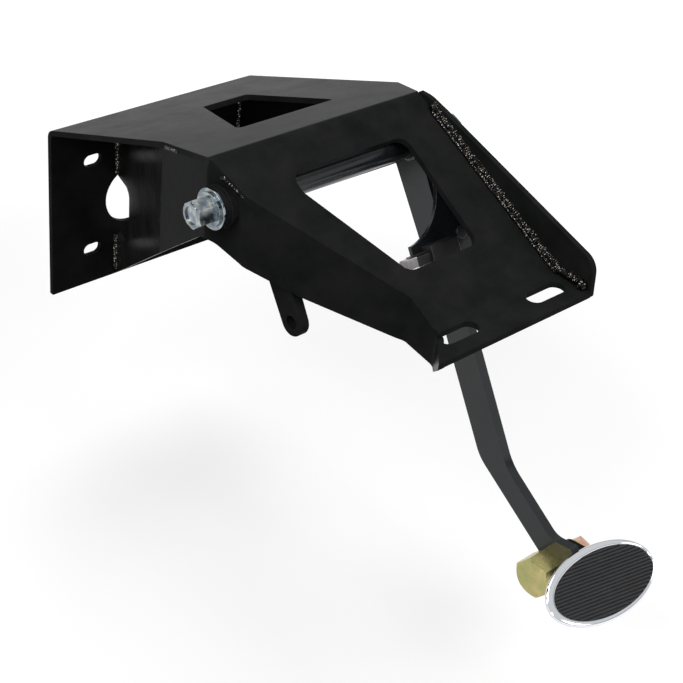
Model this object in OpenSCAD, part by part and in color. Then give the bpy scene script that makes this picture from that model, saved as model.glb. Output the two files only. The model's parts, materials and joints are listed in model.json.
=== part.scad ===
// Hanging brake pedal assembly for a flat firewall.
// X runs across the car, +Y points forward through the firewall, +Z is up.
// The origin is the centre of the push-rod hole in the front face of the firewall plate.

/* [Sheet metal] */
// Thickness of the folded bracket and of both side plates
sheet_t = 4.5; // [4:0.1:5]
// Inside radius of the folds in the main plate
fold_r = 5; // [4:0.5:7]
// Inside radius of the upright bends in the side plates
side_bend_r = 8; // [5:0.5:10]

/* [Firewall plate] */
// Height of the firewall plate above the push-rod hole
firewall_up = 79.3; // [78:0.1:82]
// Height of the firewall plate below the push-rod hole
firewall_down = 76; // [72:1:82]
// Distance from the push-rod hole to the left edge
firewall_left = 80; // [79:0.5:82]
// Distance from the push-rod hole to the right edge
firewall_right = 123; // [121:0.5:125]
// Diameter of the push-rod hole
rod_hole_d = 53; // [48:0.5:56]
// Half the spacing of the stud slots across the plate
stud_across = 40; // [38:0.5:42]
// Half the spacing of the stud slots up the plate
stud_up = 42.9; // [41:0.1:44]
// Height of a stud slot
stud_slot_h = 11; // [9:0.5:13]
// Length of a stud slot
stud_slot_l = 17; // [14:0.5:20]

/* [Top, slope and lip] */
// Upward slope of the top plate, from the firewall to the rear
top_rise = 21.1; // [20.5:0.1:21.5]
// Length of the top plate
top_len = 247.9; // [246:0.1:250]
// Downward slope of the rear plate
slope_fall = 25.7; // [25:0.1:26.5]
// Length of the rear plate
slope_len = 172.6; // [171:0.1:175]
// Depth of the level lip at the rear
lip_len = 32.1; // [31:0.1:34]
// Length of a slot in the lip
lip_slot_l = 36; // [32:1:38]
// Width of a slot in the lip
lip_slot_w = 13.5; // [11:0.5:14]
// Radius of the corners of the top window
top_window_r = 4; // [2:0.5:8]
// Radius of the corners of the rear window
slope_window_r = 9; // [5:0.5:12]

/* [Pivot] */
// Distance of the pivot behind the fold between the top and rear plates
pivot_behind = 13.3; // [12:0.1:15]
// Distance of the pivot below that fold
pivot_below = 30.5; // [30:0.1:32]
// Outside diameter of the pivot bosses
boss_d = 28; // [26:0.1:30]
// Outside diameter of the torque tube
tube_d = 22.2; // [21:0.1:24]
// Bore of the torque tube
tube_bore = 18; // [16.5:0.5:19]
// Diameter of the steel sleeve that the bushings turn on
sleeve_d = 14; // [12:0.5:15]
// Diameter of the pivot bolt
bolt_d = 10; // [8:0.5:11]
// How far the left boss stands out from the pivot's left inner face
boss_left_l = 19.5; // [16:0.5:24]
// Length of the right boss
boss_right_l = 21.5; // [16:0.5:24]
// Outside diameter of the flat washers
washer_d = 29.5; // [27:0.5:33]
// Thickness of the flat washers
washer_t = 2; // [1.5:0.1:3]
// Size across flats of the pivot bolt's hexagon
bolt_hex = 18; // [16:0.5:19]

/* [Push-rod lever] */
// Distance from the pivot to the push-rod hole in the lever
lever_len = 92.3; // [80:0.1:100]
// Angle of the lever behind the vertical
lever_angle = 33; // [28:0.5:36]
// Thickness of the lever and of the pedal arm
bar_t = 8; // [6:0.5:9.5]
// Width of the lever at its end
lever_w = 21; // [18:0.5:26]
// Diameter of the lever's push-rod hole
lever_hole_d = 10; // [8:0.5:12]

/* [Pedal arm] */
// Angle of the upper arm behind the vertical
arm_angle = 32.5; // [31.5:0.1:33.5]
// Angle of the lower arm behind the vertical
arm_low_angle = 58.7; // [57.5:0.1:60]
// Width of the upper arm
arm_w = 26.5; // [25:0.5:29]
// Length of the upper arm's front edge from the pivot to the knee
arm_knee = 251; // [248:0.5:254]
// Length of the lower arm from the knee to the pad bolt
arm_low_l = 100.3; // [98:0.1:103]

/* [Pad] */
// Length of the oval pad
pad_l = 113.5; // [106:0.5:118]
// Width of the oval pad
pad_w = 58; // [54:1:62]
// Depth of the chromed cup
cup_depth = 10; // [9:0.5:12]
// Width of the cup's rim
rim_w = 3; // [2:0.5:4]
// Tilt of the pad, front edge up
pad_tilt = 19.3; // [18:0.5:21]
// Size across flats of the long zinc-plated hexagon
pad_hex_af = 30; // [28:0.5:32]
// Length of the long hexagon
pad_hex_l = 20; // [16:1:24]
// Diameter of the pad bolt
pad_bolt_d = 12.7; // [12:0.1:13]

/* [Hidden] */

fine = 64;
eps = 0.01;
run_gap = 0.2;
stop_gap = 0.4;

function unit(a) = a / norm(a);
function left_of(a) = [-a[1], a[0]];
function dirs(path) = [for (i = [0:len(path) - 2]) unit(path[i + 1] - path[i])];
function turn(a, b) = atan2(a[0] * b[1] - a[1] * b[0], a * b);

function reversed(list) = [for (i = [len(list) - 1:-1:0]) list[i]];

// A path moved sideways by d, to the left of its direction, with mitred corners
function shifted(path, d) = let (u = dirs(path), n = len(path)) [
    for (i = [0:n - 1])
        let (a = u[max(i - 1, 0)], b = u[min(i, n - 2)], m = unit(left_of(a) + left_of(b)))
        path[i] + m * d / (m * left_of(a))
];

// A closed outline whose corner i is an arc of radius r[i]
function rounded(pts, r, steps = 8) = let (n = len(pts)) [
    for (i = [0:n - 1])
        let (
            p = pts[i],
            a = unit(p - pts[(i + n - 1) % n]),
            b = unit(pts[(i + 1) % n] - p),
            w = turn(a, b),
            s = sign(w),
            c = p - a * r[i] * tan(abs(w) / 2) + left_of(a) * s * r[i]
        )
        each (r[i] < eps || abs(w) < 0.1) ? [p] :
            [for (k = [0:steps]) let (q = w * k / steps)
                c - s * r[i] * (left_of(a) * cos(q) - a * sin(q))]
];

// Outline of a folded strip of thickness t whose bends have the inside radius r
function strip(path, t, r) = let (
    u = dirs(path),
    n = len(path),
    w = [for (i = [0:n - 1]) (i == 0 || i == n - 1) ? 0 : turn(u[i - 1], u[i])],
    left_r = [for (a = w) a == 0 ? 0 : a > 0 ? r : r + t],
    right_r = [for (a = w) a == 0 ? 0 : a > 0 ? r + t : r]
) rounded(
    concat(shifted(path, t / 2), reversed(shifted(path, -t / 2))),
    concat(left_r, reversed(right_r))
);

// Things drawn in the (Y, Z) plane stand along X from x0 to x1
module along_x(x0, x1) {
    translate([x0, 0, 0])
        rotate([90, 0, 90])
            linear_extrude(x1 - x0)
                children();
}

module rod_x(y, z, d, x0, x1) {
    translate([x0, y, z])
        rotate([90, 0, 90])
            cylinder(d = d, h = x1 - x0, $fn = fine);
}

module hex_x(y, z, af, x0, x1, spin = 0) {
    translate([x0, y, z])
        rotate([90, 0, 90])
            rotate(spin)
                cylinder(d = af / cos(30), h = x1 - x0, $fn = 6);
}

// Side view of the main plate's outer face, from the firewall's foot to the lip
fold_0 = [0, -firewall_down];
fold_1 = [0, firewall_up];
fold_2 = fold_1 + top_len * [-cos(top_rise), sin(top_rise)];
fold_3 = fold_2 - slope_len * [cos(slope_fall), sin(slope_fall)];
fold_4 = fold_3 - [lip_len, 0];
outer_face = [fold_0, fold_1, fold_2, fold_3, fold_4];
mid_face = shifted(outer_face, sheet_t / 2);
under_face = shifted(outer_face, sheet_t);

// Plan of the left side plate's outer face, front to rear, and of the right one's inner face
right_in = 94.5;
left_plan = [
    [-15, -sheet_t], [-79, fold_2[0] + 81.3], [-102, fold_2[0]], [-95, fold_2[0] - 34],
    [-31, fold_2[0] - 132.5], [-31, fold_4[0] + 27], [-57.5, fold_4[0]]
];
right_plan = [[114, -sheet_t], [right_in, fold_2[0]], [right_in, fold_4[0]]];
left_mid = shifted(left_plan, sheet_t / 2);
right_mid = shifted(right_plan, sheet_t / 2);

// Plan of the main plate
main_plan = concat(
    [[firewall_right, 5], [-firewall_left, 5]],
    [for (i = [1:6]) left_plan[i]],
    [[right_in, fold_4[0]], [right_in, fold_2[0]], [firewall_right - 3, fold_2[0] + 46]]
);

// Windows: across, and along the plate from its front fold
top_window = [[16, 81], [60, 81], [60, 190], [-33, 190]];
slope_window = [[-53, 31], [55, 31], [50, 129.5], [-18, 129.5], [-53, 47]];

lip_slot_x = [-20.5, 67];
lip_slot_back = 13.6;

// Notch of the left side plate round the push-rod hole
notch = [[5, 19.5], [-38, 31], [-48.5, 29.5], [-49.5, -14], [-20, -34], [5, -34]];
notch_r = [0, 10, 5, 14, 10, 0];

pivot = fold_2 - [pivot_behind, pivot_below];
arm_dir = [-sin(arm_angle), -cos(arm_angle)];
arm_front = [cos(arm_angle), -sin(arm_angle)];
low_dir = [-sin(arm_low_angle), -cos(arm_low_angle)];
arm_lead = 15.9;
knee = pivot + arm_front * arm_lead + arm_dir * arm_knee;

// Stations across the car
boss_left_in = -88;
boss_left_out = boss_left_in - boss_left_l;
boss_right_in = right_in - 3.5;
boss_right_out = boss_right_in + boss_right_l;
flange_t = 1.5;
tube_left = boss_left_in + run_gap + flange_t;
tube_right = boss_right_in - run_gap - flange_t;
lever_x = -73;
lever_root = 26;
arm_x = 75;
head_l = 16.2;
flange_l = 1.8;
nut_l = 9;

leaf_t = 3.5;
leaf_back = 20;
leaf_left = 31;
leaf_top = 30;
leaf_low = 79;
sweep_at = [28, 28.5];
sweep_r = 42;
bumper_at = [81, 73.7];
bumper_d = 14;
button_d = 10;
button_l = 2.5;
stem_d = 5;
switch_at = [39, 73];
switch_size = [28, 14, 12];
blade_l = 17;
arm_flare = 3.5;
flare_l = 80;
bushing_l = 20;

// The pad's own frame: origin at the middle of the tread, Y forward, Z out of the tread
pad_x = arm_x + bar_t / 2 + 1.2;
pad_bolt_at = knee + low_dir * arm_low_l + [0.4, -0.7];
pad_mid = pad_bolt_at + [-44.7, 18.9];
lobe_d = 28;
bracket_l = 22;
pad_washer_t = 2;
pad_head_l = 8;
strap_t = 7;
cup_stud = [bar_t / 2 + bracket_l / 2, -2];
stud_d = 8;
nut_m8 = 6.5;
hex_spin = 8;

module on_pad() {
    translate([pad_x, pad_mid[0], pad_mid[1]])
        rotate([pad_tilt, 0, 0])
            children();
}

// An ellipse with half axes a and b
module oval(a, b) {
    polygon([for (k = [0:4:356]) [a * cos(k), b * sin(k)]]);
}

// The folded bracket: firewall plate, top plate, rear plate and lip in one sheet
module main_plate() {
    color("#1b1c1e") difference() {
        intersection() {
            along_x(-firewall_left - 40, firewall_right + 20)
                polygon(strip(mid_face, sheet_t, fold_r));
            translate([0, 0, -firewall_down - 5])
                linear_extrude(firewall_down + 260)
                    polygon(main_plan);
        }
        translate([0, 5, 0])
            rotate([90, 0, 0])
                cylinder(d = rod_hole_d, h = sheet_t + 10, $fn = fine);
        for (x = [-stud_across, stud_across], z = [-stud_up, stud_up])
            translate([x, 5, z])
                rotate([90, 0, 0])
                    slot(stud_slot_l, stud_slot_h, sheet_t + 10);
        for (x = lip_slot_x)
            translate([x, fold_3[0] - lip_slot_back, fold_3[1] - sheet_t - 5])
                slot(lip_slot_l, lip_slot_w, sheet_t + 10);
        window(fold_1, top_rise, top_window, top_window_r);
        window(fold_2, -slope_fall, slope_window, slope_window_r);
    }
}

// A slot along X, centred on the origin and rising from it
module slot(l, w, h) {
    for (s = [-1, 1])
        translate([s * (l - w) / 2, 0, 0])
            cylinder(d = w, h = h, $fn = fine);
    translate([-(l - w) / 2, -w / 2, 0])
        cube([l - w, w, h]);
}

// A window through a plate that leaves the fold at the given rise
module window(fold, rise, outline, r) {
    translate([0, fold[0], fold[1]])
        rotate([-rise, 0, 0])
            translate([0, 0, -3 * sheet_t])
                linear_extrude(6 * sheet_t)
                    mirror([0, 1])
                        polygon(rounded(outline, [for (p = outline) r], 6));
}

// Arcs of the main plate's underside, where the left side plate meets it
under_r = [fold_r, fold_r, fold_r + sheet_t, 0];

// Lower edges of the side plates in side view, rear to front
left_edge = [
    fold_4 - [0, sheet_t + 0.3], fold_4 + [22.5, -29], fold_4 + [60, -23.7],
    fold_2 + [-68.7, -83.7], fold_2 + [-30.7, -69.2], fold_2 + [0.3, -59.5], [-sheet_t, -firewall_down]
];
left_edge_r = [0, 12, 60, 60, 30, 26, 0];
right_edge = [
    fold_4 + [0.5, -6], fold_2 + [-68.7, -78.5], fold_2 + [-30.7, -64.5],
    fold_2 + [0.3, -56.5], [-sheet_t, 15 - firewall_down]
];
right_edge_r = [2, 60, 30, 26, 0];

// Upper edge of the right side plate, where it stands proud of the rear plate
proud = [fold_2, fold_2 + [-10, 0.1], fold_2 + [-27.4, -4.7], fold_4 + [3.3, 22.3]];
proud_r = [0, 30, 30, 14];

module boss_holes() {
    rod_x(pivot[0], pivot[1], boss_d, -140, 140);
}

// Left side plate: bent upright wall under the near edge, with the pivot boss hole
module left_side_plate() {
    color("#1b1c1e") difference() {
        intersection() {
            translate([0, 0, -firewall_down])
                linear_extrude(300)
                    polygon(strip(left_mid, sheet_t, side_bend_r));
            along_x(-140, 20)
                polygon(rounded(
                    concat([for (i = [1:4]) under_face[i]], left_edge),
                    concat(under_r, left_edge_r)
                ));
        }
        along_x(-140, 20)
            polygon(rounded(notch, notch_r));
        boss_holes();
    }
}

// Right side plate: stands proud of the rear plate, with a rounded rear corner
module right_side_plate() {
    color("#1b1c1e") difference() {
        intersection() {
            translate([0, 0, -firewall_down])
                linear_extrude(300)
                    polygon(strip(right_mid, sheet_t, side_bend_r));
            along_x(80, 130)
                polygon(rounded(
                    concat([under_face[1], under_face[2]], proud, right_edge),
                    concat([fold_r, 0], proud_r, right_edge_r)
                ));
        }
        boss_holes();
    }
}

module ring_x(od, id, x0, x1) {
    difference() {
        rod_x(pivot[0], pivot[1], od, x0, x1);
        rod_x(pivot[0], pivot[1], id, x0 - 1, x1 + 1);
    }
}

module pivot_boss_left() {
    color("#202124") ring_x(boss_d, bolt_d + 0.4, boss_left_out, boss_left_in);
}

module pivot_boss_right() {
    color("#202124") ring_x(boss_d, bolt_d + 0.4, boss_right_in, boss_right_out);
}

// Tube that carries the lever and the arm and turns between the bosses
module torque_tube() {
    color("#202124") ring_x(tube_d, tube_bore, tube_left, tube_right);
}

// Flanged bushings pressed into the ends of the torque tube
module bushing_left() {
    color("#b08d4a") {
        ring_x(tube_d - 1, sleeve_d + run_gap, tube_left - flange_t, tube_left);
        ring_x(tube_bore, sleeve_d + run_gap, tube_left, tube_left + bushing_l);
    }
}

module bushing_right() {
    color("#b08d4a") {
        ring_x(tube_d - 1, sleeve_d + run_gap, tube_right, tube_right + flange_t);
        ring_x(tube_bore, sleeve_d + run_gap, tube_right - bushing_l, tube_right);
    }
}

// Hard sleeve clamped between the two bosses
module pivot_sleeve() {
    color("#8d9094") ring_x(sleeve_d, bolt_d + 0.4, boss_left_in, boss_right_in);
}

module pivot_washer_left() {
    color("#a9abab") ring_x(washer_d, bolt_d + 0.4, boss_left_out - washer_t, boss_left_out);
}

module pivot_washer_right() {
    color("#a9abab") ring_x(washer_d, bolt_d + 0.4, boss_right_out, boss_right_out + washer_t);
}

// Long bolt with a tall, dished and flanged hexagon on the left
module pivot_bolt() {
    seat = boss_left_out - washer_t;
    end = seat - head_l;
    chamfer = 1.8;
    color("#9a9c9a") {
        rod_x(pivot[0], pivot[1], bolt_d, seat - 1, boss_right_out + washer_t + nut_l + 3);
        rod_x(pivot[0], pivot[1], bolt_hex + 7, seat - flange_l, seat);
        difference() {
            intersection() {
                hex_x(pivot[0], pivot[1], bolt_hex, end, seat - flange_l, 20);
                union() {
                    rod_x(pivot[0], pivot[1], bolt_hex / cos(30) + 1, end + chamfer, seat);
                    translate([end, pivot[0], pivot[1]])
                        rotate([90, 0, 90])
                            cylinder(d1 = bolt_hex - 1, d2 = bolt_hex / cos(30) + 1, h = chamfer, $fn = fine);
                }
            }
            rod_x(pivot[0], pivot[1], bolt_hex - 5, end - 1, end + 1.2);
        }
    }
}

module pivot_nut() {
    x = boss_right_out + washer_t;
    color("#a9abab") difference() {
        hex_x(pivot[0], pivot[1], bolt_hex, x, x + nut_l, 20);
        rod_x(pivot[0], pivot[1], bolt_d, x - 1, x + nut_l + 1);
    }
}

// Flat lever welded to the torque tube, with the push-rod hole at its end
module pushrod_lever() {
    d = [-sin(lever_angle), -cos(lever_angle)];
    f = [cos(lever_angle), -sin(lever_angle)];
    eye = pivot + d * lever_len;
    color("#1b1c1e") difference() {
        union() {
            along_x(lever_x, lever_x + bar_t)
                polygon([
                    pivot + d * 4 + f * lever_root / 2, pivot + d * 4 - f * lever_root / 2,
                    eye - f * lever_w / 2, eye + f * lever_w / 2
                ]);
            rod_x(eye[0], eye[1], lever_w, lever_x, lever_x + bar_t);
        }
        rod_x(eye[0], eye[1], lever_hole_d, lever_x - 1, lever_x + bar_t + 1);
        rod_x(pivot[0], pivot[1], tube_d, lever_x - 1, lever_x + bar_t + 1);
    }
}

// Flat pedal arm with a knee and a foot that turns back under the pad
module pedal_arm() {
    outline = [
        pivot + arm_dir * 4 + arm_front * (arm_lead + arm_flare),
        pivot + arm_dir * flare_l + arm_front * arm_lead,
        knee,
        knee + low_dir * (arm_low_l - 5),
        pad_bolt_at - [0, lobe_d / 2 - 2],
        pad_mid + [7, -11.4],
        pad_mid + [30, 11.6],
        pad_mid + [49, 7.6],
        pivot + arm_dir * (arm_knee + 8.5) + arm_front * (arm_lead - arm_w),
        pivot + arm_dir * 4 + arm_front * (arm_lead - arm_w)
    ];
    color("#1b1c1e") difference() {
        union() {
            along_x(arm_x, arm_x + bar_t)
                polygon(rounded(outline, [0, 60, 35, 0, 0, 3, 2, 14, 45, 0]));
            rod_x(pad_bolt_at[0], pad_bolt_at[1], lobe_d, arm_x, arm_x + bar_t);
        }
        rod_x(pad_bolt_at[0], pad_bolt_at[1], pad_bolt_d + 0.3, arm_x - 1, arm_x + bar_t + 1);
        rod_x(pivot[0], pivot[1], tube_d, arm_x - 1, arm_x + bar_t + 1);
        on_pad()
            translate([-pad_l / 2, -pad_w / 2 - 10, -cup_depth])
                cube([pad_l, pad_w + 10, 40]);
    }
}

// Stop bracket: a leaf behind the arm, welded to the right side plate
module on_leaf() {
    translate([0, pivot[0], pivot[1]])
        rotate([-90 - arm_angle, 0, 0])
            children();
}

module stop_bracket() {
    color("#141517") difference() {
        on_leaf()
            translate([0, 0, -leaf_back - leaf_t])
                linear_extrude(leaf_t)
                    polygon([
                        [sweep_at[0] + sweep_r - 4, leaf_top], [right_in, leaf_top],
                        [right_in, leaf_low + 10.5], [leaf_left + 14, leaf_low + 4],
                        [leaf_left, leaf_low], [leaf_left, leaf_top + 20]
                    ]);
        on_leaf()
            translate([0, 0, -leaf_back - leaf_t - 1]) {
                translate(sweep_at)
                    cylinder(r = sweep_r, h = leaf_t + 2, $fn = 2 * fine);
                translate(bumper_at)
                    cylinder(d = stem_d, h = leaf_t + 2, $fn = fine);
            }
    }
}

// Rubber stop pushed through the leaf and held by the button behind it
module stop_bumper() {
    reach = leaf_back + arm_lead - arm_w - stop_gap;
    color("#101010") on_leaf()
        translate([bumper_at[0], bumper_at[1], -leaf_back]) {
            cylinder(d = bumper_d, h = reach, $fn = fine);
            translate([0, 0, -leaf_t - eps])
                cylinder(d = stem_d, h = leaf_t + 2 * eps, $fn = fine);
            translate([0, 0, -leaf_t - button_l])
                cylinder(d = button_d, h = button_l, $fn = fine);
        }
}

// Stop-light switch on the back of the leaf, with its two blade terminals
module switch_body() {
    color("#17181a") on_leaf()
        translate([switch_at[0], switch_at[1], -leaf_back - leaf_t - switch_size[2]])
            cube(switch_size);
}

module switch_terminals() {
    color("#c3c4c2") on_leaf()
        for (k = [0, 1])
            translate([switch_at[0] - blade_l, switch_at[1] + 3 + k * 6.5, -leaf_back - leaf_t - 8])
                cube([blade_l, 0.8, 6]);
}

// Long hexagon that the pad bolt screws into, on the arm's left face
module pad_hex() {
    x0 = arm_x - pad_hex_l;
    chamfer = 2;
    wide = pad_hex_af / cos(30);
    color("#b9ac5e") difference() {
        intersection() {
            hex_x(pad_bolt_at[0], pad_bolt_at[1], pad_hex_af, x0, arm_x, hex_spin);
            union() {
                rod_x(pad_bolt_at[0], pad_bolt_at[1], wide + 1, x0 + chamfer, arm_x);
                translate([x0, pad_bolt_at[0], pad_bolt_at[1]])
                    rotate([90, 0, 90])
                        cylinder(d1 = pad_hex_af, d2 = wide + 1, h = chamfer, $fn = fine);
            }
        }
        rod_x(pad_bolt_at[0], pad_bolt_at[1], pad_bolt_d + 0.1, x0 + 5, arm_x + 1);
    }
}

// Bolt from the right that clamps the pad bracket and the arm to the long hexagon
module pad_bolt() {
    seat = arm_x + bar_t + bracket_l + pad_washer_t;
    color("#d9a37e") {
        rod_x(pad_bolt_at[0], pad_bolt_at[1], pad_bolt_d, arm_x - pad_hex_l + 7, seat + 1);
        hex_x(pad_bolt_at[0], pad_bolt_at[1], 17, seat, seat + pad_head_l, hex_spin);
    }
}

module pad_washer() {
    x = arm_x + bar_t + bracket_l;
    color("#c9b36b") difference() {
        rod_x(pad_bolt_at[0], pad_bolt_at[1], 20, x, x + pad_washer_t);
        rod_x(pad_bolt_at[0], pad_bolt_at[1], pad_bolt_d + 0.3, x - 1, x + pad_washer_t + 1);
    }
}

// Bracket on the arm's right face whose strap carries the pad
module pad_bracket() {
    x0 = arm_x + bar_t;
    at = pad_bolt_at - pad_mid;
    hub = [at[0] * cos(pad_tilt) + at[1] * sin(pad_tilt), at[1] * cos(pad_tilt) - at[0] * sin(pad_tilt)];
    web = [
        hub + [11, -11], hub + [11, 6], [18, -cup_depth], [-16, -cup_depth],
        [-16, -cup_depth - strap_t], [8, -cup_depth - strap_t], hub + [-7, -11]
    ];
    color("#1b1c1e") difference() {
        translate([x0 - pad_x, 0, 0])
            on_pad()
                rotate([90, 0, 90])
                    linear_extrude(bracket_l)
                        polygon(rounded(web, [10, 8, 0, 0, 2, 8, 8]));
        rod_x(pad_bolt_at[0], pad_bolt_at[1], pad_bolt_d + 0.3, x0 - 1, x0 + bracket_l + 1);
        stud_hole(stud_d + 0.4);
    }
}

module stud_hole(d) {
    on_pad()
        translate([cup_stud[0], cup_stud[1], -cup_depth - strap_t - 1])
            cylinder(d = d, h = strap_t + 2, $fn = fine);
}

// Chromed oval cup with a rolled rim and a stud on its back
module pad_cup() {
    floor_t = 2;
    color("#d8dadc") on_pad() {
        difference() {
            translate([0, 0, -cup_depth])
                linear_extrude(cup_depth)
                    oval(pad_l / 2, pad_w / 2);
            translate([0, 0, floor_t - cup_depth])
                linear_extrude(cup_depth)
                    oval(pad_l / 2 - rim_w, pad_w / 2 - rim_w);
        }
        translate([cup_stud[0], cup_stud[1], -cup_depth - strap_t - nut_m8 - 3])
            cylinder(d = stud_d, h = strap_t + nut_m8 + 3 + 1, $fn = fine);
    }
}

module pad_nut() {
    color("#c9b36b") on_pad()
        translate([cup_stud[0], cup_stud[1], -cup_depth - strap_t - nut_m8])
            difference() {
                cylinder(d = 13 / cos(30), h = nut_m8, $fn = 6);
                translate([0, 0, -1])
                    cylinder(d = stud_d, h = nut_m8 + 2, $fn = fine);
            }
}

// Ribbed rubber tread that fills the cup
module pad_rubber() {
    floor_t = 2;
    color("#1a1b1c") on_pad()
        translate([0, 0, floor_t - cup_depth])
            linear_extrude(cup_depth - floor_t + 0.5)
                oval(pad_l / 2 - rim_w, pad_w / 2 - rim_w);
}

main_plate();
left_side_plate();
right_side_plate();
pivot_boss_left();
pivot_boss_right();
torque_tube();
bushing_left();
bushing_right();
pivot_sleeve();
pivot_washer_left();
pivot_washer_right();
pivot_bolt();
pivot_nut();
pushrod_lever();
pedal_arm();
stop_bracket();
stop_bumper();
switch_body();
switch_terminals();
pad_hex();
pad_bolt();
pad_washer();
pad_bracket();
pad_cup();
pad_nut();
pad_rubber();
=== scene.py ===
import json
import math
import random

import bmesh
import bpy
from mathutils import Matrix, Vector


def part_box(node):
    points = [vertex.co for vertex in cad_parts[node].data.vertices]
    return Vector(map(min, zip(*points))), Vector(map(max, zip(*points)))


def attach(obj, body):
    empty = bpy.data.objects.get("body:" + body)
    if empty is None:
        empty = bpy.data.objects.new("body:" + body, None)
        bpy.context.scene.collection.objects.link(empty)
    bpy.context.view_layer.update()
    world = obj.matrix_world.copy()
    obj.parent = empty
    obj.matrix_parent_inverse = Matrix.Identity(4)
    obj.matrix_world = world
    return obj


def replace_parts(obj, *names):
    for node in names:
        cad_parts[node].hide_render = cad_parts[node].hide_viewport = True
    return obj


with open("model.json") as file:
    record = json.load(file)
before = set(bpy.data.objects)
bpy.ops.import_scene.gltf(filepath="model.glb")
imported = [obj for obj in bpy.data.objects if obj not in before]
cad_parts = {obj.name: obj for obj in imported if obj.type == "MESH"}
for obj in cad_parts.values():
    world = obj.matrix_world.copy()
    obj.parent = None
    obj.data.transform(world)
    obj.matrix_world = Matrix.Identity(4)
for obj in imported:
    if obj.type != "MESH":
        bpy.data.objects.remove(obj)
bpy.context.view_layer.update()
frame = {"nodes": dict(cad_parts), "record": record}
scene = bpy.context.scene

# The camera: a 78 mm lens at chest height, to the left of the pedal and behind it.
# It looks down at 35 degrees and is rolled a little, as the photograph is.
camera_at = Vector((-0.6560, -0.9105, 0.6417))
camera_look = Vector((0.58876, 0.57054, -0.57257)).normalized()
camera_up = Vector((0.3236, 0.4828, 0.8138)).normalized()
camera_side = camera_look.cross(camera_up).normalized()
lens = bpy.data.cameras.new("studio_camera")
lens.sensor_width = 36.0
lens.lens = 78.06
lens.clip_start = 0.05
lens.clip_end = 30.0
camera = bpy.data.objects.new("studio_camera", lens)
turned = Matrix((camera_side, camera_side.cross(camera_look), -camera_look)).transposed()
camera.matrix_world = Matrix.Translation(camera_at) @ turned.to_4x4()
scene.collection.objects.link(camera)
scene.camera = camera

# The folded bracket: 4.5 mm mild steel plate, cut out, folded three times and coated with gloss black enamel.
# The brake leaves round folds, the cut leaves edges that the coat softens, and the coat has a light orange peel.


def linear(colour):
    """Turns an sRGB hex colour into the linear values that a shader takes."""
    parts = [int(colour[i:i + 2], 16) / 255 for i in (1, 3, 5)]
    return [p / 12.92 if p <= 0.04045 else ((p + 0.055) / 1.055) ** 2.4 for p in parts] + [1.0]


def add(tree, kind, settings=None, links=None):
    """Adds a node with its settings and links.

    A setting is a property, an input by its name or number, or the stops of a ramp as positions and hex colours.
    A link is an input, by its name or number, and the output that feeds it.
    """
    node = tree.nodes.new(kind)
    for name, value in (settings or {}).items():
        if name == "stops":
            stops = node.color_ramp.elements
            while len(stops) < len(value):
                stops.new(0.5)
            for stop, (position, colour) in zip(stops, value):
                stop.position = position
                stop.color = linear(colour)
        elif isinstance(name, int) or name in node.inputs:
            node.inputs[name].default_value = value
        else:
            setattr(node, name, value)
    for name, source in (links or {}).items():
        tree.links.new(source, node.inputs[name])
    return node


def new_material(name):
    """Starts an empty material and returns it with its tree and its object coordinates."""
    material = bpy.data.materials.new(name)
    material.use_nodes = True
    tree = material.node_tree
    tree.nodes.clear()
    return material, tree, add(tree, "ShaderNodeTexCoord").outputs["Object"]


def black_enamel(name, dark, pale, ior):
    """Gloss black enamel, sprayed on steel: a near black that takes a grey sheen at low angles.

    The orange peel waves are 3 mm apart and the handling haze is in 30 mm clouds. The IOR is matched to the
    photograph, where the sheen is weaker than a full enamel's.
    """
    material, tree, place = new_material(name)
    peel = add(tree, "ShaderNodeTexNoise", {"Scale": 1 / 0.003, "Detail": 2.0, "Roughness": 0.4}, {"Vector": place})
    haze = add(tree, "ShaderNodeTexNoise", {"Scale": 1 / 0.03, "Detail": 5.0, "Roughness": 0.65}, {"Vector": place})
    tint = add(tree, "ShaderNodeValToRGB", {"stops": [(0.3, dark), (0.75, pale)]}, {"Fac": haze.outputs["Fac"]})
    dull = add(tree, "ShaderNodeMapRange", {"From Min": 0.3, "From Max": 0.75, "To Min": 0.17, "To Max": 0.3},
               {"Value": haze.outputs["Fac"]})
    bump = add(tree, "ShaderNodeBump", {"Strength": 0.12, "Distance": 0.0002}, {"Height": peel.outputs["Fac"]})
    shader = add(tree, "ShaderNodeBsdfPrincipled", {"IOR": ior},
                 {"Base Color": tint.outputs["Color"], "Roughness": dull.outputs["Result"],
                  "Normal": bump.outputs["Normal"]})
    add(tree, "ShaderNodeOutputMaterial", links={"Surface": shader.outputs["BSDF"]})
    return material


def finish_piece(shape, name, material, body, smooth=35):
    """Makes a finished shape one of the object's pieces, shaded smooth up to an angle, riding on its body."""
    mesh = bpy.data.meshes.new(name)
    shape.to_mesh(mesh)
    shape.free()
    mesh.shade_smooth()
    mesh.set_sharp_from_angle(angle=math.radians(smooth))
    mesh.materials.append(material)
    piece = bpy.data.objects.new(name, mesh)
    scene.collection.objects.link(piece)
    level = piece.modifiers.new("flat_faces", "WEIGHTED_NORMAL")
    level.keep_sharp = True
    level.weight = 60
    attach(piece, body)
    return piece


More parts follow.
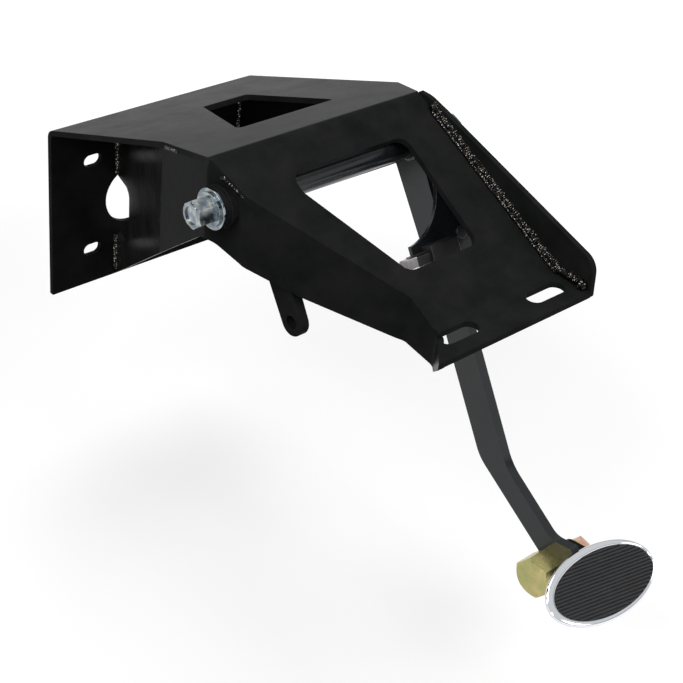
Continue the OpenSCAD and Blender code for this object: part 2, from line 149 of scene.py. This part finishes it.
def edged(node, round_off, material, steps=2):
    """Puts a copy of a CAD node with its sharp edges rounded off in place of the node."""
    body = next(b for b, nodes in frame["record"]["behaviour"]["bodies"].items() if node in nodes)
    shape = bmesh.new()
    shape.from_mesh(frame["nodes"][node].data)
    # the CAD's triangles are joined into whole faces first, so that only true edges are left to round off
    bmesh.ops.remove_doubles(shape, verts=shape.verts, dist=2e-6)
    bmesh.ops.dissolve_limit(shape, angle_limit=math.radians(0.4), verts=shape.verts, edges=shape.edges,
                             use_dissolve_boundaries=False, delimit=set())
    sharp = [e for e in shape.edges if len(e.link_faces) == 2 and e.calc_face_angle(0) > math.radians(28)]
    bmesh.ops.bevel(shape, geom=sharp, offset=round_off, offset_type="OFFSET", affect="EDGES", segments=steps,
                    profile=0.5, material=-1, clamp_overlap=True)
    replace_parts(finish_piece(shape, node + "_edged", material, body), node)


enamel = black_enamel("sprayed_black_enamel", "#171818", "#242524", 1.04)
edged("main_plate", 0.0007, enamel)

# The two side plates: the same 4.5 mm sheet, bent upright and welded under the bracket's edges.
# The right one stands proud of the rear plate, with a rounded corner at the lip.
edged("left_side_plate", 0.0007, enamel)
edged("right_side_plate", 0.0007, enamel)

# The weld beads: hand-laid runs of overlapping ripples, left as welded and enamelled over with the rest.
# The long one runs in the corner between the right side plate and the rear plate, down to the lip.


def painted_bead():
    """Thin enamel over weld ripples: black, with a sparkle of bare ripple crests and spatter that it doesn't cover.

    The bright specks are 1 mm apart, drawn twice as coarse as the real ones so that they show.
    """
    material, tree, place = new_material("enamel_over_weld")
    grit = add(tree, "ShaderNodeTexVoronoi", {"Scale": 1 / 0.0011}, {"Vector": place})
    wave = add(tree, "ShaderNodeTexNoise", {"Scale": 1 / 0.0025, "Detail": 3.0}, {"Vector": place})
    chance = add(tree, "ShaderNodeSeparateColor", links={"Color": grit.outputs["Color"]})
    picked = add(tree, "ShaderNodeMath", {"operation": "GREATER_THAN", 1: 0.55}, {0: chance.outputs["Red"]})
    core = add(tree, "ShaderNodeMath", {"operation": "LESS_THAN", 1: 0.46}, {0: grit.outputs["Distance"]})
    speck = add(tree, "ShaderNodeMath", {"operation": "MULTIPLY"},
                {0: picked.outputs["Value"], 1: core.outputs["Value"]})
    tint = add(tree, "ShaderNodeValToRGB", {"stops": [(0.0, "#0c0c0c"), (1.0, "#807b75")]},
               {"Fac": speck.outputs["Value"]})
    rough = add(tree, "ShaderNodeMapRange", {"To Min": 0.12, "To Max": 0.32}, {"Value": wave.outputs["Fac"]})
    bump = add(tree, "ShaderNodeBump", {"Strength": 0.8, "Distance": 0.0009}, {"Height": wave.outputs["Fac"]})
    shader = add(tree, "ShaderNodeBsdfPrincipled", {"IOR": 1.45, "Specular IOR Level": 0.12},
                 {"Base Color": tint.outputs["Color"], "Metallic": speck.outputs["Value"],
                  "Roughness": rough.outputs["Result"], "Normal": bump.outputs["Normal"]})
    add(tree, "ShaderNodeOutputMaterial", links={"Surface": shader.outputs["BSDF"]})
    return material


def lay_bead(welds, line, width, height, pitch, seed, up):
    """Lays overlapping ripples along a line of points, each a flattened ball turned to the line.

    Each run is made in a mesh of its own, because balls are added slowly to a large one.
    """
    hand = random.Random(seed)
    run = bmesh.new()
    for start, end in zip(line, line[1:]):
        along = end - start
        count = max(1, round(along.length / pitch))
        ahead = along.normalized()
        across = up.cross(ahead).normalized()
        turn = Matrix((ahead, across, ahead.cross(across))).transposed().to_4x4()
        for k in range(count):
            sway = across * hand.uniform(-0.06, 0.06) * width
            size = Matrix.Diagonal((pitch * hand.uniform(0.85, 1.15), width * hand.uniform(0.45, 0.55),
                                    height * hand.uniform(0.85, 1.15), 1))
            at = Matrix.Translation(start + along * (k + 0.5) / count + sway)
            bmesh.ops.create_uvsphere(run, u_segments=8, v_segments=6, radius=1.0, matrix=at @ turn @ size)
    laid = bpy.data.meshes.new("weld_run")
    run.to_mesh(laid)
    run.free()
    welds.from_mesh(laid)
    bpy.data.meshes.remove(laid)


# the long bead, in two rows, and the blob at its end on the lip; it lies on the right side plate's inner face
right_inner = 0.0945
apex = Vector((right_inner, -0.2313, 0.1685))
lip_fold = Vector((right_inner, -0.3868, 0.0937))
lip_end = Vector((right_inner, -0.4130, 0.0937))
slope_up = Vector((0, -0.4337, 0.9011))
to_left = Vector((-1, 0, 0))
to_right = Vector((1, 0, 0))
tilted = (slope_up - to_right).normalized()
welds = bmesh.new()
crest = Vector((0.0004, 0, 0)) + slope_up * 0.0028
lay_bead(welds, [apex.lerp(lip_fold, 0.09) + crest, lip_fold + crest, lip_end + crest],
         width=0.0088, height=0.0030, pitch=0.0017, seed=3, up=tilted)
crest = Vector((-0.0026, 0, 0)) + slope_up * 0.0012
lay_bead(welds, [apex.lerp(lip_fold, 0.12) + crest, lip_fold + crest],
         width=0.0040, height=0.0014, pitch=0.0023, seed=4, up=slope_up)
lay_bead(welds, [lip_end + Vector((-0.002, 0.004, 0.0025)), lip_end + Vector((-0.002, -0.001, 0.0025))],
         width=0.0090, height=0.0032, pitch=0.0021, seed=5, up=tilted)

# the firewall plate's seams: at the left side plate above and below the push-rod hole, and at the right one
seam_y = -0.0053
seam_out = Vector((-1, -1, 0)).normalized()
for x, high, low, width, height, seed in ((-0.0155, 0.074, 0.024, 0.0075, 0.0018, 6),
                                          (-0.0155, -0.036, -0.070, 0.0080, 0.0020, 7),
                                          (0.1135, 0.070, -0.055, 0.0060, 0.0016, 8)):
    lay_bead(welds, [Vector((x, seam_y, high)), Vector((x, seam_y, low))],
             width=width, height=height, pitch=0.0019, seed=seed, up=seam_out)

# a tack under the top plate's edge at the left plate's bend, and the short run from the boss over the fold
lay_bead(welds, [Vector((-0.0800, -0.1540, 0.1350)), Vector((-0.0870, -0.1780, 0.1442))],
         width=0.0030, height=0.0009, pitch=0.0021, seed=9, up=to_left)
lay_bead(welds, [Vector((-0.0997, -0.2430, 0.1592)), Vector((-0.0942, -0.2620, 0.1505))],
         width=0.0042, height=0.0016, pitch=0.0021, seed=10, up=Vector((-1, 0, 0.6)).normalized())
finish_piece(welds, "bracket_welds", painted_bead(), "bracket", 60)

# small fillets that the coat covers: round the bosses where they pass through the side plates, and at the stop leaf
pivot = Vector(frame["record"]["behaviour"]["joints"][0]["pos_m"])
boss_low, boss_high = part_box("pivot_boss_left")
boss_r = (boss_high.z - boss_low.z) / 2
left_outer = -0.1016
right_outer = 0.0992
leaf_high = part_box("stop_bracket")[1]
leaf_down = Vector((0, -0.5373, -0.8434))
leaf_top = Vector((right_inner - 0.001, leaf_high.y - 0.004, leaf_high.z - 0.004))


def ring_of(x, radius, first, last):
    """Points of an arc round the pivot's axis, at one X, from one angle to another in degrees."""
    steps = 24
    points = []
    for k in range(steps + 1):
        angle = math.radians(first + (last - first) * k / steps)
        points.append(Vector((x, pivot.y + radius * math.cos(angle), pivot.z + radius * math.sin(angle))))
    return points


fillets = bmesh.new()
lay_bead(fillets, ring_of(left_outer, boss_r, 0, 360),
         width=0.0034, height=0.0012, pitch=0.0022, seed=11, up=to_right)
lay_bead(fillets, ring_of(right_outer, boss_r + 0.0006, 0, 360),
         width=0.0044, height=0.0016, pitch=0.0022, seed=12, up=to_right)
lay_bead(fillets, [leaf_top, leaf_top + 0.040 * leaf_down],
         width=0.0050, height=0.0016, pitch=0.0022, seed=13, up=to_left)
finish_piece(fillets, "coated_fillets", enamel, "bracket", 60)

# The pivot: two turned steel bosses in the side plates, and a long bolt through a hard sleeve between them.
# The bolt, nut and washers are zinc plated with a clear passivate, and the bolt's tall head is dished.


def clear_zinc():
    """Bright zinc plating: silver with a blue cast, its polish broken by 7 mm clouds and fine rubs."""
    material, tree, place = new_material("bright_zinc_plate")
    cloud = add(tree, "ShaderNodeTexNoise", {"Scale": 1 / 0.007, "Detail": 3.0, "Roughness": 0.5}, {"Vector": place})
    tint = add(tree, "ShaderNodeValToRGB", {"stops": [(0.3, "#5f686f"), (0.52, "#889197"), (0.72, "#b6b8b1")]},
               {"Fac": cloud.outputs["Fac"]})
    rough = add(tree, "ShaderNodeMapRange", {"From Min": 0.3, "From Max": 0.7, "To Min": 0.08, "To Max": 0.17},
                {"Value": cloud.outputs["Fac"]})
    rub = add(tree, "ShaderNodeTexNoise", {"Scale": 1 / 0.0009, "Detail": 3.0}, {"Vector": place})
    bump = add(tree, "ShaderNodeBump", {"Strength": 0.08, "Distance": 0.0001}, {"Height": rub.outputs["Fac"]})
    shader = add(tree, "ShaderNodeBsdfPrincipled", {"Metallic": 1.0},
                 {"Base Color": tint.outputs["Color"], "Roughness": rough.outputs["Result"],
                  "Normal": bump.outputs["Normal"]})
    add(tree, "ShaderNodeOutputMaterial", links={"Surface": shader.outputs["BSDF"]})
    return material


zinc = clear_zinc()
edged("pivot_boss_left", 0.0006, enamel)
edged("pivot_boss_right", 0.0006, enamel)
edged("pivot_bolt", 0.0007, zinc, steps=3)
edged("pivot_washer_left", 0.0003, zinc)
edged("pivot_washer_right", 0.0003, zinc)
edged("pivot_nut", 0.0005, zinc)
edged("pivot_sleeve", 0.0003, zinc)

# The torque tube: 22 mm seamless steel tube that turns on two flanged bronze bushings, enamelled with the pedal.
# The lever and the arm are cut from 8 mm flat bar, coped to the tube and welded round it.


def sintered_bronze():
    """Oil-filled sintered bronze: a dull brown gold with a fine open grain of half a millimetre."""
    material, tree, place = new_material("sintered_bronze")
    grain = add(tree, "ShaderNodeTexNoise", {"Scale": 1 / 0.0005, "Detail": 3.0}, {"Vector": place})
    tint = add(tree, "ShaderNodeValToRGB", {"stops": [(0.35, "#80602f"), (0.7, "#b08d4a")]},
               {"Fac": grain.outputs["Fac"]})
    shader = add(tree, "ShaderNodeBsdfPrincipled", {"Metallic": 1.0, "Roughness": 0.42},
                 {"Base Color": tint.outputs["Color"]})
    add(tree, "ShaderNodeOutputMaterial", links={"Surface": shader.outputs["BSDF"]})
    return material


bronze = sintered_bronze()
edged("bushing_left", 0.0002, bronze)
edged("bushing_right", 0.0002, bronze)
# the pedal was sprayed apart from the bracket, with a glossier coat that is a bluer grey in the light
gloss = black_enamel("wet_black_enamel", "#14181a", "#202427", 1.42)
edged("torque_tube", 0.0005, gloss)
edged("pushrod_lever", 0.0008, enamel)
edged("pedal_arm", 0.0009, gloss)

# a weld round the tube at each face of both bars, left open at the top
tube_low, tube_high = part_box("torque_tube")
tube_r = (tube_high.z - tube_low.z) / 2
welds = bmesh.new()
for bar, seed in (("pushrod_lever", 20), ("pedal_arm", 22)):
    bar_low, bar_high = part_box(bar)
    for side, face_x in enumerate((bar_low.x - 0.0006, bar_high.x + 0.0006)):
        lay_bead(welds, ring_of(face_x, tube_r + 0.0010, 195, 338),
                 width=0.0048, height=0.0018, pitch=0.0022, seed=seed + side, up=to_right)
finish_piece(welds, "pedal_welds", gloss, "pedal", 60)

# The stop: a 3.5 mm steel leaf with a round sweep, welded inside the right side plate and enamelled with it.
# It carries a moulded rubber stop, and the stop-light switch in black nylon with two tinned brass blades.


def moulded_rubber():
    """Moulded black rubber: a matt charcoal with a soft bloom and a 0.6 mm grain from the mould."""
    material, tree, place = new_material("moulded_rubber")
    bloom = add(tree, "ShaderNodeTexNoise", {"Scale": 1 / 0.012, "Detail": 4.0}, {"Vector": place})
    tint = add(tree, "ShaderNodeValToRGB", {"stops": [(0.3, "#131415"), (0.75, "#212326")]},
               {"Fac": bloom.outputs["Fac"]})
    grain = add(tree, "ShaderNodeTexNoise", {"Scale": 1 / 0.0006, "Detail": 2.0}, {"Vector": place})
    bump = add(tree, "ShaderNodeBump", {"Strength": 0.2, "Distance": 0.0001}, {"Height": grain.outputs["Fac"]})
    shader = add(tree, "ShaderNodeBsdfPrincipled", {"IOR": 1.52, "Roughness": 0.45},
                 {"Base Color": tint.outputs["Color"], "Normal": bump.outputs["Normal"]})
    add(tree, "ShaderNodeOutputMaterial", links={"Surface": shader.outputs["BSDF"]})
    return material


def black_nylon():
    """Moulded glass-filled nylon: a flat black with a faint flow mottle, 5 mm across."""
    material, tree, place = new_material("black_nylon")
    flow = add(tree, "ShaderNodeTexNoise", {"Scale": 1 / 0.005, "Detail": 3.0}, {"Vector": place})
    rough = add(tree, "ShaderNodeMapRange", {"To Min": 0.42, "To Max": 0.6}, {"Value": flow.outputs["Fac"]})
    shader = add(tree, "ShaderNodeBsdfPrincipled", {"IOR": 1.53, "Base Color": linear("#101011")},
                 {"Roughness": rough.outputs["Result"]})
    add(tree, "ShaderNodeOutputMaterial", links={"Surface": shader.outputs["BSDF"]})
    return material


def tinned_brass():
    """Tinned brass blades: a darker satin grey, with 1 mm wipe marks from the dip."""
    material, tree, place = new_material("tinned_brass")
    wipe = add(tree, "ShaderNodeTexNoise", {"Scale": 1 / 0.001, "Detail": 2.0}, {"Vector": place})
    rough = add(tree, "ShaderNodeMapRange", {"To Min": 0.25, "To Max": 0.45}, {"Value": wipe.outputs["Fac"]})
    shader = add(tree, "ShaderNodeBsdfPrincipled", {"Metallic": 1.0, "Base Color": linear("#66625c")},
                 {"Roughness": rough.outputs["Result"]})
    add(tree, "ShaderNodeOutputMaterial", links={"Surface": shader.outputs["BSDF"]})
    return material


def grey_insulator():
    """The switch's moulded insulator: a warm pale grey with a soft 4 mm mottle."""
    material, tree, place = new_material("grey_insulator")
    flow = add(tree, "ShaderNodeTexNoise", {"Scale": 1 / 0.004, "Detail": 3.0}, {"Vector": place})
    tint = add(tree, "ShaderNodeValToRGB", {"stops": [(0.3, "#a39fa2"), (0.7, "#bab6b8")]},
               {"Fac": flow.outputs["Fac"]})
    shader = add(tree, "ShaderNodeBsdfPrincipled", {"IOR": 1.5, "Roughness": 0.4},
                 {"Base Color": tint.outputs["Color"]})
    add(tree, "ShaderNodeOutputMaterial", links={"Surface": shader.outputs["BSDF"]})
    return material


rubber = moulded_rubber()
nylon = black_nylon()
edged("stop_bracket", 0.0006, gloss)
edged("stop_bumper", 0.0006, rubber)
edged("switch_body", 0.0008, nylon)
edged("switch_terminals", 0.00015, tinned_brass())

# on the blades, a black boot at the switch and a pale insulator at the ends: blocks with rounded edges
blade_low, blade_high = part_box("switch_terminals")
blade_mid = (blade_low + blade_high) / 2
block_depth = 0.0076
block_turn = Matrix.Rotation(-math.atan2(-leaf_down.y, -leaf_down.z), 3, "X")
for name, material, left, right, tall, drop in (
        ("switch_boot", nylon, 0.0045, 0.0172, 0.0115, 0.0018),
        ("switch_insulator", grey_insulator(), -0.0055, 0.0055, 0.0088, 0.0015)):
    block = bmesh.new()
    bmesh.ops.create_cube(block, size=1.0)
    bmesh.ops.scale(block, verts=block.verts, vec=(right - left, tall, block_depth))
    bmesh.ops.bevel(block, geom=list(block.edges), offset=0.0008, offset_type="OFFSET", affect="EDGES", segments=3,
                    profile=0.5, material=-1)
    bmesh.ops.rotate(block, verts=block.verts, cent=(0, 0, 0), matrix=block_turn)
    bmesh.ops.translate(block, verts=block.verts,
                        vec=(blade_low.x + (left + right) / 2, blade_mid.y, blade_mid.z - drop))
    finish_piece(block, name, material, "bracket")

# The pad's fixing: a long plated hexagon on the arm's left face takes the bolt that comes through the arm.
# The hexagon, washer and nut have the yellow passivate of that time, and the bolt a pink copper one.


def yellow_passivate():
    """Yellow chromate over zinc: dull brass with green and pink clouds 10 mm across, as the film's depth varies."""
    material, tree, place = new_material("yellow_passivated_zinc")
    film = add(tree, "ShaderNodeTexNoise", {"Scale": 1 / 0.010, "Detail": 3.0, "Roughness": 0.5}, {"Vector": place})
    tint = add(tree, "ShaderNodeValToRGB",
               {"stops": [(0.3, "#a3a56e"), (0.5, "#b4ab73"), (0.64, "#c2b581"), (0.8, "#c6a489")]},
               {"Fac": film.outputs["Fac"]})
    rough = add(tree, "ShaderNodeMapRange", {"From Min": 0.3, "From Max": 0.7, "To Min": 0.2, "To Max": 0.34},
                {"Value": film.outputs["Fac"]})
    shader = add(tree, "ShaderNodeBsdfPrincipled", {"Metallic": 1.0},
                 {"Base Color": tint.outputs["Color"], "Roughness": rough.outputs["Result"]})
    add(tree, "ShaderNodeOutputMaterial", links={"Surface": shader.outputs["BSDF"]})
    return material


def pink_passivate():
    """The bolt's thinner film: a rosy copper tone with 5 mm clouds."""
    material, tree, place = new_material("pink_passivated_zinc")
    film = add(tree, "ShaderNodeTexNoise", {"Scale": 1 / 0.005, "Detail": 3.0}, {"Vector": place})
    tint = add(tree, "ShaderNodeValToRGB", {"stops": [(0.3, "#c79a84"), (0.7, "#ecc6ab")]},
               {"Fac": film.outputs["Fac"]})
    shader = add(tree, "ShaderNodeBsdfPrincipled", {"Metallic": 1.0, "Roughness": 0.3},
                 {"Base Color": tint.outputs["Color"]})
    add(tree, "ShaderNodeOutputMaterial", links={"Surface": shader.outputs["BSDF"]})
    return material


yellow = yellow_passivate()
edged("pad_hex", 0.0006, yellow, steps=3)
edged("pad_washer", 0.0003, yellow)
edged("pad_nut", 0.0004, yellow)
edged("pad_bolt", 0.0005, pink_passivate())
edged("pad_bracket", 0.0008, enamel)

# The cup: an oval shell spun and pressed from thin steel, with a rolled rim, polished and chrome plated.
# A stud on its back goes through the pad bracket's strap.


def chrome_plate():
    """Bright chrome: a hard mirror with a blue cast and no grain, with a slight smear in 20 mm clouds."""
    material, tree, place = new_material("bright_chrome")
    smear = add(tree, "ShaderNodeTexNoise", {"Scale": 1 / 0.02, "Detail": 4.0}, {"Vector": place})
    rough = add(tree, "ShaderNodeMapRange", {"From Min": 0.35, "From Max": 0.7, "To Min": 0.03, "To Max": 0.09},
                {"Value": smear.outputs["Fac"]})
    shader = add(tree, "ShaderNodeBsdfPrincipled", {"Metallic": 1.0, "Base Color": linear("#dfe2e6")},
                 {"Roughness": rough.outputs["Result"]})
    add(tree, "ShaderNodeOutputMaterial", links={"Surface": shader.outputs["BSDF"]})
    return material


# the pad is shaped flat, with the rim's top at height 0, and then laid where the CAD's rubber lies
pad_half_l = 0.1135 / 2
pad_half_w = 0.058 / 2
rubber_foot = -0.008
rubber_crown = 0.0005
pad_turn = Matrix.Rotation(math.radians(19.3), 4, "X")
rubber_low, rubber_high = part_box("pad_rubber")
rubber_mid = (rubber_low + rubber_high) / 2
face_up = pad_turn.to_3x3() @ Vector((0, 0, 1))
pad_place = Matrix.Translation(rubber_mid - face_up * (rubber_foot + rubber_crown) / 2) @ pad_turn

# from the middle of the floor, up the wall, over the rim and down to the floor again: each ring is an inset from the
# outside of the rim, a height, and how far it is drawn over to the middle of the opening, which is off the rim's
opening = Vector((0.0020, -0.0012, 0))
rings = [(0.0100, -0.0100, 0), (0.0068, -0.0095, 0), (0.0043, -0.0083, 0), (0.0024, -0.0066, 0), (0.0011, -0.0048, 0),
         (0.0003, -0.0032, 0), (0.0, -0.0020, 0), (0.0004, -0.0010, 0), (0.0014, -0.0003, 0.15), (0.0028, 0.0, 0.45),
         (0.0041, -0.0002, 0.8), (0.0049, -0.0009, 0.95), (0.0053, -0.0019, 1), (0.0053, -0.0080, 1)]
cup = bmesh.new()
bmesh.ops.create_circle(cup, cap_ends=True, segments=200, radius=1.0)
rim = list(cup.edges)
first_inset, first_height, _ = rings[0]
bmesh.ops.scale(cup, verts=cup.verts, vec=(pad_half_l - first_inset, pad_half_w - first_inset, 1))
bmesh.ops.translate(cup, verts=cup.verts, vec=(0, 0, first_height))
for (inset_was, height_was, drawn_was), (inset, height, drawn) in zip(rings, rings[1:]):
    grown = bmesh.ops.extrude_edge_only(cup, edges=rim)["geom"]
    verts = [g for g in grown if isinstance(g, bmesh.types.BMVert)]
    rim = [g for g in grown if isinstance(g, bmesh.types.BMEdge)]
    bmesh.ops.translate(cup, verts=verts, vec=-opening * drawn_was)
    bmesh.ops.scale(cup, verts=verts, vec=((pad_half_l - inset) / (pad_half_l - inset_was),
                                           (pad_half_w - inset) / (pad_half_w - inset_was), 1))
    bmesh.ops.translate(cup, verts=verts, vec=opening * drawn + Vector((0, 0, height - height_was)))
bmesh.ops.contextual_create(cup, geom=rim)

stud_r = 0.004
stud_top = -0.009
stud_low = -0.0265
bmesh.ops.create_cone(cup, cap_ends=True, segments=32, radius1=stud_r, radius2=stud_r, depth=stud_top - stud_low,
                      matrix=Matrix.Translation((0.015, -0.002, (stud_top + stud_low) / 2)))
bmesh.ops.recalc_face_normals(cup, faces=cup.faces)
bmesh.ops.transform(cup, matrix=pad_place, verts=cup.verts)
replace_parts(finish_piece(cup, "rolled_cup", chrome_plate(), "pedal", 40), "pad_cup")

# The tread: a moulded rubber insert with seventeen straight ribs, pressed into the cup under its rolled rim.
# The ribs stand on a flat oval web and run a little askew to the oval's length.
rib_count = 17
rib_pitch = 0.00262
rib_w = 0.0014
rib_h = 0.0016
rib_turn = math.radians(-10)
web_h = 0.0058
tread_l = pad_half_l - 0.0046
tread_w = pad_half_w - 0.0046
tread = bmesh.new()
bmesh.ops.create_circle(tread, cap_ends=True, segments=160, radius=1.0)
bmesh.ops.scale(tread, verts=tread.verts, vec=(tread_l, tread_w, 1))
bmesh.ops.translate(tread, verts=tread.verts, vec=(0, 0, rubber_foot))
grown = bmesh.ops.extrude_face_region(tread, geom=list(tread.faces))["geom"]
bmesh.ops.translate(tread, verts=[g for g in grown if isinstance(g, bmesh.types.BMVert)], vec=(0, 0, web_h))
ahead = Vector((math.cos(rib_turn), math.sin(rib_turn)))
for k in range(rib_count + 2):
    # the chord of the oval along the rib, as the roots of a quadratic; the first and last are too near the edge
    start = Vector((-ahead.y, ahead.x)) * (k - (rib_count + 1) / 2) * rib_pitch
    a = (ahead.x / tread_l) ** 2 + (ahead.y / tread_w) ** 2
    b = start.x * ahead.x / tread_l ** 2 + start.y * ahead.y / tread_w ** 2
    c = (start.x / tread_l) ** 2 + (start.y / tread_w) ** 2 - 1
    if b * b - a * c <= 1e-3:
        continue
    reach = math.sqrt(b * b - a * c) / a
    middle = start - ahead * b / a
    bar = bmesh.ops.create_cube(tread, size=1.0)["verts"]
    bmesh.ops.scale(tread, verts=bar, vec=(2 * reach, rib_w, rib_h))
    crests = [e for e in tread.edges if all(v in bar and v.co.z > 0 for v in e.verts)
              and abs(e.verts[0].co.x - e.verts[1].co.x) > reach]
    rounded = bmesh.ops.bevel(tread, geom=crests, offset=0.0004, offset_type="OFFSET", affect="EDGES", segments=3,
                              profile=0.5, material=-1)["verts"]
    bar = list(set(rounded) | {v for v in bar if v.is_valid})
    bmesh.ops.rotate(tread, verts=bar, cent=(0, 0, 0), matrix=Matrix.Rotation(rib_turn, 3, "Z"))
    bmesh.ops.translate(tread, verts=bar, vec=(middle.x, middle.y, -rib_h))
bmesh.ops.translate(tread, verts=tread.verts, vec=opening)
bmesh.ops.transform(tread, matrix=pad_place, verts=tread.verts)
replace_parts(finish_piece(tread, "ribbed_tread", rubber, "pedal", 40), "pad_rubber")

# The studio: a white table below the swing of the pedal, a dim room round it and three soft boxes.
# The camera and the plating see the table and the far backdrop as white, and the rest gets their dimmer light.


def sees_white(tree, plain, white):
    """Shows the white shader to camera, glossy and transmission rays, and the plain one to the rest."""
    ray = add(tree, "ShaderNodeLightPath")
    either = add(tree, "ShaderNodeMath", {"operation": "ADD"},
                 {0: ray.outputs["Is Camera Ray"], 1: ray.outputs["Is Glossy Ray"]})
    any_of = add(tree, "ShaderNodeMath", {"operation": "ADD", "use_clamp": True},
                 {0: either.outputs["Value"], 1: ray.outputs["Is Transmission Ray"]})
    mix = add(tree, "ShaderNodeMixShader", links={"Fac": any_of.outputs["Value"], 1: plain.outputs[0],
                                                  2: white.outputs[0]})
    return mix.outputs["Shader"]


# near the pedal the lamps give half of the table's white, so that its shadow shows, and further out a glow takes over
material, tree, place = new_material("white_table")
away = add(tree, "ShaderNodeVectorMath", {"operation": "LENGTH"}, {"Vector": place})
rise = add(tree, "ShaderNodeMapRange", {"From Min": 0.45, "From Max": 1.4, "To Min": 0.58, "To Max": 1.0},
           {"Value": away.outputs["Value"]})
glow = add(tree, "ShaderNodeEmission", links={"Strength": rise.outputs["Result"]})
matt = add(tree, "ShaderNodeBsdfDiffuse", {"Color": linear("#b7b7b7")})
white = add(tree, "ShaderNodeAddShader", links={0: matt.outputs["BSDF"], 1: glow.outputs["Emission"]})
plain = add(tree, "ShaderNodeBsdfDiffuse", {"Color": linear("#a0a0a0")})
add(tree, "ShaderNodeOutputMaterial", links={"Surface": sees_white(tree, plain, white)})

table = bmesh.new()
bmesh.ops.create_grid(table, x_segments=1, y_segments=1, size=6.0)
bmesh.ops.translate(table, verts=table.verts, vec=(0, 0, -0.245))
floor_mesh = bpy.data.meshes.new("studio_floor")
table.to_mesh(floor_mesh)
table.free()
floor_mesh.materials.append(material)
floor = bpy.data.objects.new("studio_floor", floor_mesh)
scene.collection.objects.link(floor)

# the room, by height: white at the table, a dark band that the bright metal mirrors, and pale above
world = bpy.data.worlds.new("studio_room")
scene.world = world
world.use_nodes = True
tree = world.node_tree
tree.nodes.clear()
direction = add(tree, "ShaderNodeTexCoord").outputs["Generated"]
height = add(tree, "ShaderNodeSeparateXYZ", links={"Vector": direction}).outputs["Z"]
backdrop = add(tree, "ShaderNodeValToRGB",
               {"stops": [(0.28, "#ffffff"), (0.36, "#5a5a5a"), (0.44, "#6a6a6a"), (0.52, "#e2e2e2")]},
               {"Fac": height})
white = add(tree, "ShaderNodeBackground", {"Strength": 1.0}, {"Color": backdrop.outputs["Color"]})
plain = add(tree, "ShaderNodeBackground", {"Color": linear("#6e6e6e"), "Strength": 1.0})
add(tree, "ShaderNodeOutputWorld", links={"Surface": sees_white(tree, plain, white)})

aim = Vector((0.0, -0.25, 0.0))
for name, at, size, power in (("soft_box_left", (-1.6, -0.4, 1.5), 1.0, 24),
                              ("soft_box_front", (0.3, -2.0, 1.4), 1.0, 18),
                              ("soft_box_top", (0.4, 0.6, 2.2), 1.3, 26)):
    lamp = bpy.data.lights.new(name, "AREA")
    lamp.size = size
    lamp.energy = power
    soft_box = bpy.data.objects.new(name, lamp)
    soft_box.location = at
    soft_box.rotation_euler = (aim - Vector(at)).to_track_quat("-Z", "Y").to_euler()
    scene.collection.objects.link(soft_box)

scene.view_settings.view_transform = "Standard"
